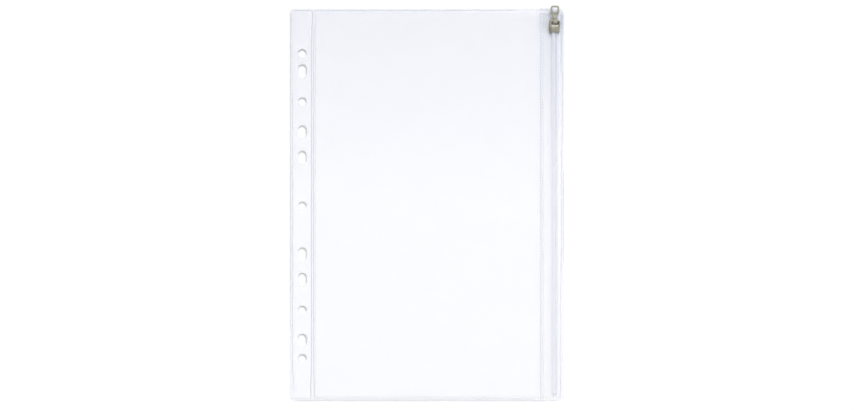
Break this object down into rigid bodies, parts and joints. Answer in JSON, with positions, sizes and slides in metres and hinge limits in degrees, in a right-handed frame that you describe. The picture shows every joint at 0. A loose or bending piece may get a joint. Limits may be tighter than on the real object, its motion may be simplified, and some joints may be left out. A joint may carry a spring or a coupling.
{
  "type": "zip binder pocket",
  "caption": "Clear plastic pocket with a punched ring-binder margin down one side and a slider zip down the other, for papers and small flat things",
  "frame": {"origin": "middle of the back face, the face that lies on a table", "axes": "+X across the pocket from the punched margin to the zip, +Y up the pocket to the closed end where the slider rests, +Z out of the front"},
  "size_m": [0.216, 0.3106, 0.0066],
  "materials": {
    "clear_film": "glossy clear soft vinyl film with a faint cool tint",
    "zip_profile": "glossy translucent extruded vinyl",
    "cast_slider": "nickel-plated zinc casting, slightly warm",
    "pull_metal": "bright nickel plate, slightly warm"
  },
  "bodies": {
    "pocket": {"back_sheet": "clear_film", "front_sheet": "clear_film", "zip_groove_strip": "zip_profile", "zip_rib_strip": "zip_profile"},
    "slider": {"slider_body": "cast_slider", "pull_pin": "pull_metal"},
    "pull": {"pull_tab": "pull_metal"}
  },
  "joints": [
    {"name": "slider_slide", "type": "slide", "parent": "pocket", "child": "slider", "axis": [0, -1, 0], "range_m": [0, 0.2821]},
    {"name": "pull_swing", "type": "hinge", "parent": "slider", "child": "pull", "pos_m": [0.1002, 0.1437, 0.00545], "axis": [1, 0, 0], "range_deg": [0, 187]}
  ]
}
